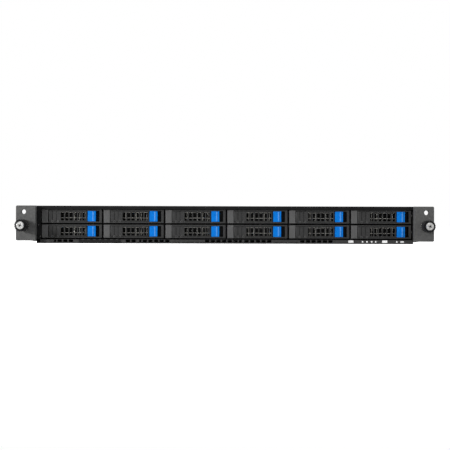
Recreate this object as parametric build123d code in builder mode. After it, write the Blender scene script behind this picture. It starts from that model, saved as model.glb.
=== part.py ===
from build123d import *
from math import radians, sin, sqrt
import os

os.makedirs("parts", exist_ok=True)

# Rack standard: panel across the ears, and the holes in it
ear_span = 482.6
rack_hole_inset = 8.75
rack_hole_step = 15.875
screw_height = 20.6

# Body: sheet steel case between the ears, which stand out from it by their width
ear_width = 21.3
body_height = 43.6
body_depth = 700.0
sheet = 1.2
floor_sheet = 1.0
lid_sheet = 1.0
lid_seat = 0.2
lip_depth = 8.0

# Ears and their captive screws
ear_thickness = 6.0
ear_foot = 3.1
ear_heel = 2.4
ear_slope_width = 4.0
ear_flange_length = 62.0
ear_hole_diameter = 5.5
ear_corner = 1.0
collar_diameter = 14.0
collar_length = 15.0
disc_diameter = 9.4
disc_height = 1.6
disc_chamfer = 0.9
screw_reach = 22.0
washer_diameter = 12.4
washer_height = 2.4
shank_diameter = 5.0
shank_tail = 9.0
neck_diameter = 4.2
knurl_count = 16
knurl_depth = 0.6

# Drive bays: as many as fit, six across and two high
bay_pitch = 72.1
row_pitch = 17.5
array_shift = 1.75
first_row_height = 6.3
tray_recess = 12.0

# Drive tray: moulded bezel, sheet carrier, drive
tray_width = 70.0
tray_height = 15.5
bezel_depth = 10.0
pocket_depth = 8.0
tray_border = 1.5
end_plate = 7.3
right_post = 2.9
drive_width = 69.85
drive_length = 100.45
drive_height = 14.8
drive_setback = 4.0
carrier_sheet = 0.5
carrier_tail = 3.5
carrier_lift = 0.1
grid_bar = 1.2
grid_rows = 3
grid_columns = 2
grid_start = 20.0
grid_width = 32.0

# Lever that closes the tray, hinged at its left end
part_gap = 0.3
lever_thickness = 2.2
lever_end = 52.4
pin_diameter = 1.6
pin_clearance = 0.08
pin_reach = 1.3
slot_count = 6
slot_pitch = 5.05
slot_bar = 1.2
slot_rim = 0.9
groove_positions = (12.3, 16.9)
groove_width = 0.6
groove_depth = 0.5

# Blue release latch, pushed sideways
latch_start = 53.4
latch_width = 9.2
latch_gap = 0.15
latch_ridge_start = 0.62
latch_ridge_end = 0.75
latch_ridge_height = 0.4

# Cage that guides the trays
cage_sheet = 0.6
cage_side = 0.5
cage_length = 135.0
cage_front = 9.0
cage_lip = 1.0
divider_setback = 2.0
fixed_lid_length = 191.0
backplane_thickness = 1.6
connector_width = 42.0
connector_height = 5.0
air_slot_width = 24.0
air_slot_height = 3.0

# Perforated strip under the trays, with the controls at its right end
strip_height = 4.6
strip_front = 9.0
strip_corner = 3.7
vent_width = 5.0
vent_height = 3.0
vent_pitch = 6.55
vent_stretches = ((12.6, 38.8), (98.5, 150.9), (190.7, 269.3), (301.3, 340.6))
button_width = 6.0
button_height = 2.8
button_gap = 0.2
button_stand = 0.6
button_length = 4.0
power_inset = 71.8
locate_inset = 32.5
switch_gap = 1.2
switch_width = 6.0
switch_length = 3.5
switch_height = 2.0
control_thickness = 0.8
control_length = 31.0
control_left_margin = 12.0
control_right_margin = 20.0

# Pull-out tag in the strip
tag_width = 47.0
tag_inset = 68.2
tag_height = 4.0
tag_front_thickness = 1.4
tag_tongue_thickness = 1.2
tag_tongue_length = 45.0
tag_tongue_inset = 3.0

# Fans in a row behind the drive cage
fan_clearance = 1.4
fan_wall = 1.0
fan_depth = 28.0
fan_front = 215.0
fan_pitch = 84.0
hub_diameter = 18.0
hub_sides = 16
bore_sides = 32
hub_setback = 1.0
nose_diameter = 6.0
nose_height = 0.5
fan_base = 3.0
strut_bite = 0.3
strut_width = 3.0
blade_count = 5
blade_length = 18.0
blade_thickness = 1.4
blade_pitch = 38.0
tip_gap = 0.6

# Main board, processors and memory
board_thickness = 1.6
board_height = 6.0
board_front = 262.0
board_side_gap = 1.5
standoff_width = 6.0
standoff_inset = 15.0
standoff_columns = 2
standoff_rows = 4
cooler_width = 78.0
cooler_length = 108.0
cooler_base = 4.0
cooler_fins = 20
cooler_fin = 0.8
cooler_clearance = 3.0
socket_height = 6.0
socket_width = 60.0
cooler_front = 330.0
memory_thickness = 1.4
memory_length = 133.35
memory_clearance = 3.5
memory_pitch = 7.2
memory_side_gap = 1.2
memory_bank_size = 4
memory_socket_width = 6.0
memory_socket_height = 4.5
memory_latch = 4.0
memory_front = 318.0

# Power supplies side by side at the right of the back
supply_width = 73.5
supply_clearance = 1.7
supply_length = 185.0
supply_gap = 1.0
supply_wall_gap = 1.6
supply_sheet = 1.0
supply_fit = 0.3
inlet_width = 24.5
inlet_height = 16.5
inlet_depth = 15.0
handle_reach = 24.0
handle_width = 30.0
handle_bar = 4.0
handle_height = 12.0
guard_margin = 3.5
guard_diameter = 34.0
guard_hub_diameter = 13.6
guard_wire = 1.6
guard_depth = 2.5
inlet_margin = 4.5
blade_setback = 5.0
blade_step = 7.0
blade_width = 2.0
blade_height = 4.0
side_blade_drop = 1.0
middle_blade_rise = 3.0
tab_offset = 8.0
tab_width = 7.0
tab_height = 9.0
tab_reach = 9.0
edge_width = 50.0
edge_length = 14.0
edge_height = 8.0

# Ports at the left of the back, measured from the left end of the main board
port_proud = 0.6
port_shell = 1.0
port_depth = 14.0
network_width = 16.0
network_height = 13.5
usb_width = 14.5
usb_height = 6.6
usb_count = 2
usb_inset = 97.3
network_insets = (119.3, 137.3)
video_inset = 167.3
video_width = 30.0
video_height = 12.0

# Places worked out from the sizes above
overall_depth = screw_reach + body_depth + handle_reach
ear_y = screw_reach - overall_depth / 2
back_y = ear_y + body_depth
body_width = ear_span - 2 * ear_width
rack_hole_x = ear_span / 2 - rack_hole_inset
half_width = body_width / 2
inner_half = half_width - sheet
lid_underside = body_height - lid_sheet
wall_top = lid_underside - lid_seat
cage_inner = inner_half - cage_side
ear_hole_height = screw_height + rack_hole_step
columns = int(2 * cage_inner // bay_pitch)
rows = int((lid_underside - first_row_height) // row_pitch)
tray_y = ear_y + tray_recess
carrier_width = drive_width + 2 * carrier_sheet
carrier_overhang = (carrier_width - tray_width) / 2
drive_start = bezel_depth + drive_setback
drive_back = drive_start + drive_length
carrier_end = drive_back + carrier_tail
top_row_top = first_row_height + row_pitch * (rows - 1) + tray_height
array_left = array_shift - bay_pitch * (columns - 1) / 2 - tray_width / 2
backplane_y = ear_y + cage_length + part_gap
supply_bottom = floor_sheet + part_gap
supply_right = inner_half - supply_gap
supply_front_y = back_y - supply_length
supply_zone_left = supply_right - 2 * supply_width - supply_wall_gap
supply_centers = (supply_zone_left + supply_width / 2, supply_right - supply_width / 2)
board_top = board_height + board_thickness
supply_height = lid_underside - supply_bottom - supply_clearance
strip_left = strip_corner - cage_inner
strip_right = cage_inner
strip_middle = (floor_sheet + strip_height) / 2
power_x = strip_right - power_inset
locate_x = strip_right - locate_inset
tag_center = strip_left + tag_inset
fan_bottom = floor_sheet + lid_seat
fan_size = lid_underside - fan_bottom - fan_clearance
fan_bore = fan_size - 2 * fan_wall
fan_count = int(2 * inner_half // fan_pitch)
fan_axis_height = fan_bottom + fan_size / 2
board_y_front = ear_y + board_front
board_back = back_y - sheet - part_gap
board_left = -inner_half + board_side_gap
board_right = supply_zone_left - supply_fit - supply_sheet - board_side_gap
board_center = (board_left + board_right) / 2
standoff_step_x = (board_right - board_left - 2 * standoff_inset) / (standoff_columns - 1)
standoff_step_y = (board_back - board_y_front - 2 * standoff_inset) / (standoff_rows - 1)
usb_x = board_left + usb_inset
network_positions = [board_left + inset for inset in network_insets]
video_x = board_left + video_inset
memory_offset = cooler_width / 2 + memory_side_gap + memory_pitch * memory_bank_size / 2
processor_pitch = 2 * memory_offset + memory_pitch * memory_bank_size
processor_count = int((board_right - board_left) // processor_pitch)
first_cooler = board_center - processor_pitch * (processor_count - 1) / 2
cooler_positions = [first_cooler + processor_pitch * number for number in range(processor_count)]
memory_banks = [x + side * memory_offset for x in cooler_positions for side in (-1, 1)]
cooler_top = lid_underside - cooler_clearance - board_top - socket_height
memory_height = lid_underside - memory_clearance - board_top - memory_socket_height


def facing_front(y):
    """Plane across the body at y. Its sketch has X to the right and Z up, and grows towards the front."""
    return Plane.XZ.offset(-y)


def bay_left(column):
    """Left edge of a tray in this column."""
    return array_left + bay_pitch * column


def bay_bottom(row):
    """Bottom of a tray in this row."""
    return first_row_height + row_pitch * row


def save(label, shape):
    """Write one finished node under its own name."""
    shape.label = label
    export_step(shape, f"parts/{label}.step")


def group(*pieces):
    """Separate solids that share one node."""
    return Compound([solid for piece in pieces for solid in piece.part.solids()])


# Case: floor, side walls and the wall beside the supplies, perforated front strip, standoffs and back panel
strip_y = ear_y + strip_front
wall_front_y = ear_y + ear_flange_length + part_gap
with BuildPart() as case_floor:
    with BuildSketch(Plane.XY):
        with Locations((-inner_half, strip_y)):
            Rectangle(2 * inner_half, back_y - strip_y, align=(Align.MIN, Align.MIN))
        with Locations((-half_width, wall_front_y)):
            Rectangle(body_width, back_y - wall_front_y, align=(Align.MIN, Align.MIN))
    extrude(amount=floor_sheet)
with BuildPart() as case_walls:
    with BuildSketch(Plane.XY.offset(floor_sheet)):
        for side in (-1, 1):
            with Locations((side * (half_width - sheet / 2), wall_front_y)):
                Rectangle(sheet, back_y - wall_front_y, align=(Align.CENTER, Align.MIN))
        with Locations((supply_zone_left - supply_fit, supply_front_y)):
            Rectangle(supply_sheet, supply_length - sheet, align=(Align.MAX, Align.MIN))
    extrude(amount=wall_top - floor_sheet)
with BuildPart() as front_strip:
    with BuildSketch(facing_front(strip_y + sheet)):
        with Locations((strip_left, floor_sheet)):
            Rectangle(strip_right - strip_left, strip_height - floor_sheet, align=(Align.MIN, Align.MIN))
        for start, end in vent_stretches:
            with Locations((strip_left + (start + end) / 2, strip_middle)):
                with GridLocations(vent_pitch, 1, round((end - start) / vent_pitch), 1):
                    Rectangle(vent_width, vent_height, mode=Mode.SUBTRACT)
        with Locations((power_x, strip_middle), (locate_x, strip_middle)):
            Rectangle(button_width + 2 * button_gap, button_height + 2 * button_gap, mode=Mode.SUBTRACT)
        with Locations((tag_center, strip_middle)):
            Rectangle(
                tag_width - 2 * tag_tongue_inset + 2 * part_gap,
                tag_tongue_thickness + 2 * part_gap,
                mode=Mode.SUBTRACT,
            )
    extrude(amount=sheet)
with BuildPart() as standoffs:
    with BuildSketch(Plane.XY.offset(floor_sheet)):
        with Locations((board_center, (board_y_front + board_back) / 2)):
            with GridLocations(standoff_step_x, standoff_step_y, standoff_columns, standoff_rows):
                RegularPolygon(standoff_width / 2, 6)
    extrude(amount=board_height - floor_sheet)
with BuildPart() as back_panel:
    with BuildSketch(facing_front(back_y)):
        with Locations((-inner_half, floor_sheet)):
            Rectangle(
                inner_half + supply_zone_left - supply_fit,
                wall_top - floor_sheet,
                align=(Align.MIN, Align.MIN),
            )
        with Locations((usb_x, board_top + (network_height + port_shell) / 2)):
            Rectangle(
                usb_width + 2 * part_gap,
                network_height + port_shell + 2 * part_gap,
                mode=Mode.SUBTRACT,
            )
        with Locations([(x, board_top + network_height / 2) for x in network_positions]):
            Rectangle(network_width + 2 * part_gap, network_height + 2 * part_gap, mode=Mode.SUBTRACT)
        with Locations((video_x, board_top + video_height / 2)):
            Rectangle(video_width + 2 * part_gap, video_height + 2 * part_gap, mode=Mode.SUBTRACT)
    extrude(amount=sheet)
save("chassis_base", group(case_floor, case_walls, front_strip, standoffs, back_panel))

# Drive cage: floor, shelf, dividers, header and the fixed front part of the lid
cage_y = ear_y + cage_front
divider_y = tray_y + divider_setback
cage_back = ear_y + cage_length
cage_floor_top = first_row_height - lid_seat
with BuildPart() as cage_sides:
    with BuildSketch(Plane.XY.offset(floor_sheet)):
        for side in (-1, 1):
            with Locations((side * (cage_inner + cage_side / 2), cage_y)):
                Rectangle(cage_side, cage_back - cage_y, align=(Align.CENTER, Align.MIN))
    extrude(amount=lid_underside - floor_sheet)
with BuildPart() as cage_shelves:
    with BuildSketch(facing_front(cage_back)):
        for row in range(rows):
            with Locations((0, bay_bottom(row) - lid_seat)):
                Rectangle(2 * cage_inner, cage_sheet, align=(Align.CENTER, Align.MAX))
    extrude(amount=cage_back - divider_y)
with BuildPart() as dividers:
    with BuildSketch(facing_front(cage_back)):
        for row in range(rows):
            divider_top = lid_underside if row == rows - 1 else bay_bottom(row + 1) - lid_seat - cage_sheet
            divider_bottom = bay_bottom(row) - lid_seat
            for column in range(1, columns):
                with Locations((bay_left(column) - (bay_pitch - tray_width) / 2, divider_bottom)):
                    Rectangle(cage_sheet, divider_top - divider_bottom, align=(Align.CENTER, Align.MIN))
    extrude(amount=cage_back - divider_y)
with BuildPart() as cage_header:
    with BuildSketch(facing_front(cage_y + cage_lip)):
        with Locations((0, lid_underside)):
            Rectangle(
                2 * cage_inner,
                lid_underside - top_row_top - part_gap,
                align=(Align.CENTER, Align.MAX),
            )
        with Locations((-cage_inner, strip_height + lid_seat)):
            Rectangle(
                array_left - carrier_overhang - part_gap + cage_inner,
                lid_underside - strip_height - lid_seat,
                align=(Align.MIN, Align.MIN),
            )
    extrude(amount=cage_lip)
with BuildPart() as front_lid:
    with BuildSketch(Plane.XY.offset(lid_underside)):
        with Locations((0, cage_y)):
            Rectangle(body_width, fixed_lid_length - cage_front, align=(Align.CENTER, Align.MIN))
    extrude(amount=lid_sheet)
save("drive_cage", group(cage_sides, cage_shelves, dividers, cage_header, front_lid))

# Removable lid: a plate, with a guide rail under each edge that fits inside the side wall
lid_y = ear_y + fixed_lid_length + part_gap
with BuildPart() as lid_plate:
    with BuildSketch(Plane.XY.offset(lid_underside)):
        with Locations((0, lid_y)):
            Rectangle(body_width, back_y - lid_y, align=(Align.CENTER, Align.MIN))
    extrude(amount=lid_sheet)
with BuildPart() as lid_rails:
    with BuildSketch(Plane.XY.offset(lid_underside)):
        for side in (-1, 1):
            with Locations((side * (inner_half - part_gap - lid_sheet / 2), lid_y)):
                Rectangle(lid_sheet, supply_front_y - part_gap - lid_y, align=(Align.CENTER, Align.MIN))
    extrude(amount=-lip_depth)
save("top_cover", group(lid_plate, lid_rails))

# Rack ears: a thick drilled plate each, with a flange along the side of the case
with BuildPart() as ears:
    with BuildSketch(facing_front(ear_y + ear_thickness)):
        with BuildLine():
            Polyline(
                (half_width - sheet, body_height),
                (ear_span / 2, body_height),
                (ear_span / 2, ear_foot),
                (half_width + ear_slope_width, ear_foot),
                (half_width - sheet, ear_heel),
                close=True,
            )
        make_face()
        outer = vertices().group_by(Axis.X)[-1]
        chamfer(outer, ear_corner)
        with Locations((rack_hole_x, ear_hole_height), (rack_hole_x, screw_height)):
            Circle(ear_hole_diameter / 2, mode=Mode.SUBTRACT)
    extrude(amount=ear_thickness)
    with BuildSketch(Plane.YZ.offset(half_width - sheet)):
        with Locations((ear_y, ear_heel)):
            Rectangle(ear_flange_length, wall_top - ear_heel, align=(Align.MIN, Align.MIN))
    extrude(amount=sheet)
    mirror(about=Plane.YZ)
with BuildPart() as washers:
    with BuildSketch(facing_front(ear_y)):
        with Locations((rack_hole_x, screw_height), (-rack_hole_x, screw_height)):
            RegularPolygon(washer_diameter / 2, 12)
            Circle(ear_hole_diameter / 2, mode=Mode.SUBTRACT)
    extrude(amount=washer_height)
save("rack_ears", group(ears, washers))

# Captive thumbscrews: knurled collar, chamfered disc, thin neck in the ear and a threaded end behind it
collar_start = washer_height + part_gap
for screw_name, side in (("left_thumbscrew", -1), ("right_thumbscrew", 1)):
    screw_x = side * rack_hole_x
    with BuildPart() as thumbscrew:
        with BuildSketch(facing_front(ear_y - collar_start)):
            with Locations((screw_x, screw_height)):
                RegularPolygon(collar_diameter / 2, 2 * knurl_count)
                with PolarLocations(collar_diameter / 2, knurl_count):
                    RegularPolygon(knurl_depth, 4, mode=Mode.SUBTRACT)
        extrude(amount=collar_length)
        with BuildSketch(Plane.YZ.offset(screw_x)):
            with BuildLine():
                tip = ear_y - screw_reach
                collar_face = ear_y - collar_start - collar_length
                thread_start = ear_y + ear_thickness
                tail = thread_start + shank_tail
                Polyline(
                    (tip, screw_height),
                    (tail, screw_height),
                    (tail, screw_height + shank_diameter / 2),
                    (thread_start, screw_height + shank_diameter / 2),
                    (thread_start, screw_height + neck_diameter / 2),
                    (collar_face, screw_height + neck_diameter / 2),
                    (collar_face, screw_height + disc_diameter / 2),
                    (tip + disc_height, screw_height + disc_diameter / 2),
                    (tip, screw_height + disc_diameter / 2 - disc_chamfer),
                    close=True,
                )
            make_face()
        revolve(axis=Axis((screw_x, 0, screw_height), (0, 1, 0)))
    save(screw_name, thumbscrew.part)

# Drive tray: bezel with a pocket for the lever and the latch, and a vent grid across its back
hinge_x = end_plate + part_gap + lever_thickness / 2
hinge_y = lever_thickness / 2
pocket_width = tray_width - end_plate - right_post
with BuildPart() as bezel:
    with BuildSketch(facing_front(bezel_depth)):
        Rectangle(tray_width, tray_height, align=(Align.MIN, Align.MIN))
    extrude(amount=bezel_depth)
    with BuildSketch(facing_front(pocket_depth)):
        with Locations((end_plate, tray_border)):
            Rectangle(pocket_width, tray_height - 2 * tray_border, align=(Align.MIN, Align.MIN))
    extrude(amount=pocket_depth, mode=Mode.SUBTRACT)
    column_step = (grid_width + grid_bar) / grid_columns
    row_step = (tray_height - 2 * tray_border + grid_bar) / grid_rows
    with BuildSketch(facing_front(bezel_depth)):
        with Locations((grid_start + grid_width / 2, tray_height / 2)):
            with GridLocations(column_step, row_step, grid_columns, grid_rows):
                Rectangle(column_step - grid_bar, row_step - grid_bar)
    extrude(amount=bezel_depth - pocket_depth, mode=Mode.SUBTRACT)
    with BuildSketch(Plane.XY.offset(tray_border - pin_reach + part_gap)):
        with Locations((hinge_x, hinge_y)):
            Rectangle(pin_diameter + 2 * pin_clearance, pin_diameter + 2 * pin_clearance)
    extrude(amount=tray_height - 2 * (tray_border - pin_reach + part_gap), mode=Mode.SUBTRACT)
with BuildPart() as carrier:
    with BuildSketch(facing_front(carrier_end)):
        with Locations((-carrier_overhang, carrier_lift)):
            Rectangle(carrier_width, drive_height + carrier_sheet, align=(Align.MIN, Align.MIN))
        with Locations((-carrier_overhang + carrier_sheet, carrier_lift + carrier_sheet)):
            Rectangle(drive_width, drive_height, align=(Align.MIN, Align.MIN), mode=Mode.SUBTRACT)
    extrude(amount=carrier_end - bezel_depth)
with BuildPart() as drive:
    with BuildSketch(facing_front(drive_back)):
        with Locations((-carrier_overhang + carrier_sheet, carrier_lift + carrier_sheet)):
            Rectangle(drive_width, drive_height - part_gap, align=(Align.MIN, Align.MIN))
    extrude(amount=drive_length)
tray = group(bezel, carrier, drive)

# Lever: slotted plate with a round hinge edge and a pin at each end of it
lever_bottom = tray_border + part_gap
lever_height = tray_height - 2 * lever_bottom
slot_span = slot_pitch * slot_count
with BuildPart() as lever:
    with BuildSketch(Plane.XY.offset(lever_bottom)):
        with Locations((hinge_x, 0)):
            Rectangle(lever_end - hinge_x, lever_thickness, align=(Align.MIN, Align.MIN))
        with Locations((hinge_x, hinge_y)):
            Circle(lever_thickness / 2)
        with Locations([(position, 0) for position in groove_positions]):
            Rectangle(groove_width, 2 * groove_depth, mode=Mode.SUBTRACT)
    extrude(amount=lever_height)
    with BuildSketch(facing_front(lever_thickness)):
        with Locations((lever_end - slot_bar - slot_span / 2 + slot_bar / 2, tray_height / 2)):
            with GridLocations(slot_pitch, 1, slot_count, 1):
                Rectangle(slot_pitch - slot_bar, lever_height - 2 * slot_rim)
    extrude(amount=lever_thickness, mode=Mode.SUBTRACT)
    pin_length = lever_height + 2 * pin_reach
    with BuildSketch(Plane.XY.offset(lever_bottom - pin_reach)):
        with Locations((hinge_x, hinge_y)):
            RegularPolygon(pin_diameter / 2, 8)
    extrude(amount=pin_length)

# Release latch: a block in the pocket beside the lever, with a thumb ridge
with BuildPart() as latch:
    with BuildSketch(Plane.XY.offset(tray_border + latch_gap)):
        with Locations((latch_start, 0)):
            Rectangle(latch_width, pocket_depth - part_gap, align=(Align.MIN, Align.MIN))
        with Locations((latch_start + latch_width * latch_ridge_start, 0)):
            Rectangle(
                latch_width * (latch_ridge_end - latch_ridge_start),
                latch_ridge_height,
                align=(Align.MIN, Align.MAX),
            )
    extrude(amount=tray_height - 2 * (tray_border + latch_gap))

for row in range(rows):
    for column in range(columns):
        number = row * columns + column + 1
        bay = Location((bay_left(column), tray_y, bay_bottom(row)))
        save(f"tray_{number:02d}", tray.moved(bay))
        save(f"lever_{number:02d}", lever.part.moved(bay))
        save(f"latch_{number:02d}", latch.part.moved(bay))

# Drive backplane with one connector behind each drive
connector_y = tray_y + drive_back + part_gap
with BuildPart() as backplane:
    with BuildSketch(facing_front(backplane_y + backplane_thickness)):
        with Locations((0, cage_floor_top)):
            Rectangle(
                2 * (inner_half - part_gap),
                wall_top - cage_floor_top - part_gap,
                align=(Align.CENTER, Align.MIN),
            )
        with Locations((0, bay_bottom(rows - 1) - lid_seat - cage_sheet / 2)):
            with GridLocations(bay_pitch / 2, 1, 2 * columns - 1, 1):
                Rectangle(air_slot_width, air_slot_height, mode=Mode.SUBTRACT)
    extrude(amount=backplane_thickness)
with BuildPart() as connectors:
    with BuildSketch(facing_front(backplane_y)):
        for row in range(rows):
            for column in range(columns):
                with Locations((bay_left(column) + tray_width / 2, bay_bottom(row) + connector_height)):
                    Rectangle(connector_width, connector_height)
    extrude(amount=backplane_y - connector_y)
save("drive_backplane", group(backplane, connectors))

# Control board under the cage, with the two switches and the buttons in front of them
button_back_y = strip_y - button_stand + button_length
board_y = button_back_y + switch_gap
control_left = power_x - control_left_margin
control_right = locate_x + control_right_margin
with BuildPart() as control_card:
    with BuildSketch(Plane.XY.offset(floor_sheet + lid_seat)):
        with Locations((control_left, board_y)):
            Rectangle(control_right - control_left, control_length, align=(Align.MIN, Align.MIN))
    extrude(amount=control_thickness)
with BuildPart() as switches:
    with BuildSketch(Plane.XY.offset(floor_sheet + lid_seat + control_thickness)):
        with Locations((power_x, board_y), (locate_x, board_y)):
            Rectangle(switch_width, switch_length, align=(Align.CENTER, Align.MIN))
    extrude(amount=switch_height)
save("control_board", group(control_card, switches))
for button_name, button_x in (("power_button", power_x), ("locate_button", locate_x)):
    with BuildPart() as button:
        with BuildSketch(facing_front(button_back_y)):
            with Locations((button_x, strip_middle)):
                Rectangle(button_width, button_height)
        extrude(amount=button_length)
    save(button_name, button.part)

# Pull-out tag: a tongue through the strip and a grip in front of it
with BuildPart() as info_tag:
    with BuildSketch(facing_front(strip_y - part_gap)):
        with Locations((tag_center, strip_middle)):
            Rectangle(tag_width, tag_height)
    extrude(amount=tag_front_thickness)
    with BuildSketch(facing_front(strip_y - part_gap)):
        with Locations((tag_center, strip_middle)):
            Rectangle(tag_width - 2 * tag_tongue_inset, tag_tongue_thickness)
    extrude(amount=-tag_tongue_length)
save("info_tag", info_tag.part)

# Fans: square frames with a motor base on struts, and bladed rotors in front of it
fan_y = ear_y + fan_front
base_y = fan_y + fan_depth
rotor_back_y = base_y - fan_base - part_gap
hub_front_y = fan_y + hub_setback
with BuildPart() as fan_frame:
    with BuildSketch(facing_front(base_y)):
        with Locations((0, fan_axis_height)):
            Rectangle(fan_size, fan_size)
            RegularPolygon(fan_bore / 2, bore_sides, major_radius=False, mode=Mode.SUBTRACT)
    extrude(amount=fan_depth)
    with BuildSketch(facing_front(base_y)):
        with Locations((0, fan_axis_height)):
            RegularPolygon(hub_diameter / 2, hub_sides)
            Rectangle(fan_bore + 2 * strut_bite, strut_width)
            Rectangle(strut_width, fan_bore + 2 * strut_bite)
    extrude(amount=fan_base)
with BuildPart() as rotor:
    with BuildSketch(facing_front(rotor_back_y)):
        with Locations((0, fan_axis_height)):
            RegularPolygon(hub_diameter / 2, hub_sides)
    extrude(amount=rotor_back_y - hub_front_y)
    with BuildSketch(facing_front(hub_front_y)):
        with Locations((0, fan_axis_height)):
            Circle(nose_diameter / 2)
    extrude(amount=nose_height)
    blade_planes = []
    for blade in range(blade_count):
        angle = 360 * blade / blade_count
        outward = Vector(0, 0, 1).rotate(Axis.Y, angle)
        along = Vector(0, 1, 0).rotate(Axis((0, 0, 0), outward), blade_pitch)
        centre = (0, (rotor_back_y + hub_front_y) / 2, fan_axis_height)
        blade_planes.append(Plane(centre, x_dir=along, z_dir=outward))
    blade_half_chord = blade_length * sin(radians(blade_pitch)) / 2
    blade_reach = sqrt((fan_bore / 2 - tip_gap) ** 2 - blade_half_chord**2) - blade_thickness / 2
    with BuildSketch(*blade_planes):
        Rectangle(blade_length, blade_thickness)
    extrude(amount=blade_reach)
fan_places = [Location((fan_pitch * (number - (fan_count - 1) / 2), 0, 0)) for number in range(fan_count)]
save("fan_frames", Compound([fan_frame.part.moved(place).solid() for place in fan_places]))
for number, place in enumerate(fan_places, start=1):
    save(f"fan_rotor_{number}", rotor.part.moved(place))

# Main board: an L round the power supplies, with processor and memory sockets and the rear ports
wide_back = supply_front_y - edge_length - part_gap
cooler_y = ear_y + cooler_front
memory_y = ear_y + memory_front
port_back = back_y + port_proud
with BuildPart() as main_board:
    with BuildSketch(Plane.XY.offset(board_height)):
        with Locations((board_left, board_y_front)):
            Rectangle(board_right - board_left, board_back - board_y_front, align=(Align.MIN, Align.MIN))
            Rectangle(inner_half - board_side_gap - board_left, wide_back + edge_length - board_y_front,
                      align=(Align.MIN, Align.MIN))
    extrude(amount=board_thickness)
with BuildPart() as processor_sockets:
    with BuildSketch(Plane.XY.offset(board_top)):
        with Locations([(x, cooler_y + cooler_length / 2) for x in cooler_positions]):
            Rectangle(socket_width, socket_width)
    extrude(amount=socket_height)
with BuildPart() as memory_sockets:
    with BuildSketch(Plane.XY.offset(board_top)):
        for bank_x in memory_banks:
            with Locations((bank_x, memory_y + memory_length / 2)):
                with GridLocations(memory_pitch, 1, memory_bank_size, 1):
                    Rectangle(memory_socket_width, memory_length + 2 * memory_latch)
    extrude(amount=memory_socket_height)
with BuildPart() as supply_sockets:
    with BuildSketch(Plane.XY.offset(board_top)):
        with Locations([(x, wide_back) for x in supply_centers]):
            Rectangle(edge_width, edge_length, align=(Align.CENTER, Align.MIN))
    extrude(amount=edge_height)
with BuildPart() as ports:
    with BuildSketch(facing_front(port_back)):
        with Locations((usb_x, board_top)):
            Rectangle(usb_width, network_height + port_shell, align=(Align.CENTER, Align.MIN))
        with Locations([(x, board_top) for x in network_positions]):
            Rectangle(network_width, network_height, align=(Align.CENTER, Align.MIN))
        with Locations((video_x, board_top)):
            Rectangle(video_width, video_height, align=(Align.CENTER, Align.MIN))
    extrude(amount=port_depth + port_shell)
    with BuildSketch(facing_front(port_back)):
        with Locations((usb_x, board_top + (network_height + port_shell) / 2)):
            with GridLocations(1, usb_height + port_shell / 2, 1, usb_count):
                Rectangle(usb_width - 2 * port_shell, usb_height - port_shell)
        with Locations([(x, board_top + network_height / 2) for x in network_positions]):
            Rectangle(network_width - 4 * port_shell, network_height - 4 * port_shell)
    extrude(amount=port_depth, mode=Mode.SUBTRACT)
save("main_board", group(main_board, processor_sockets, memory_sockets, supply_sockets, ports))

# Coolers: a base plate with upright fins on each processor
with BuildPart() as coolers:
    with BuildSketch(facing_front(cooler_y + cooler_length)):
        with Locations([(x, board_top + socket_height) for x in cooler_positions]):
            Rectangle(cooler_width, cooler_base, align=(Align.CENTER, Align.MIN))
        for x in cooler_positions:
            with Locations((x, board_top + socket_height + cooler_top / 2)):
                with GridLocations((cooler_width - cooler_fin) / (cooler_fins - 1), 1, cooler_fins, 1):
                    Rectangle(cooler_fin, cooler_top)
    extrude(amount=cooler_length)
save("processor_coolers", coolers.part)

# Memory modules, upright in their sockets
with BuildPart() as memory:
    with BuildSketch(Plane.XY.offset(board_top + memory_socket_height)):
        for bank_x in memory_banks:
            with Locations((bank_x, memory_y + memory_length / 2)):
                with GridLocations(memory_pitch, 1, memory_bank_size, 1):
                    Rectangle(memory_thickness, memory_length)
    extrude(amount=memory_height)
save("memory_modules", memory.part)

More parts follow.
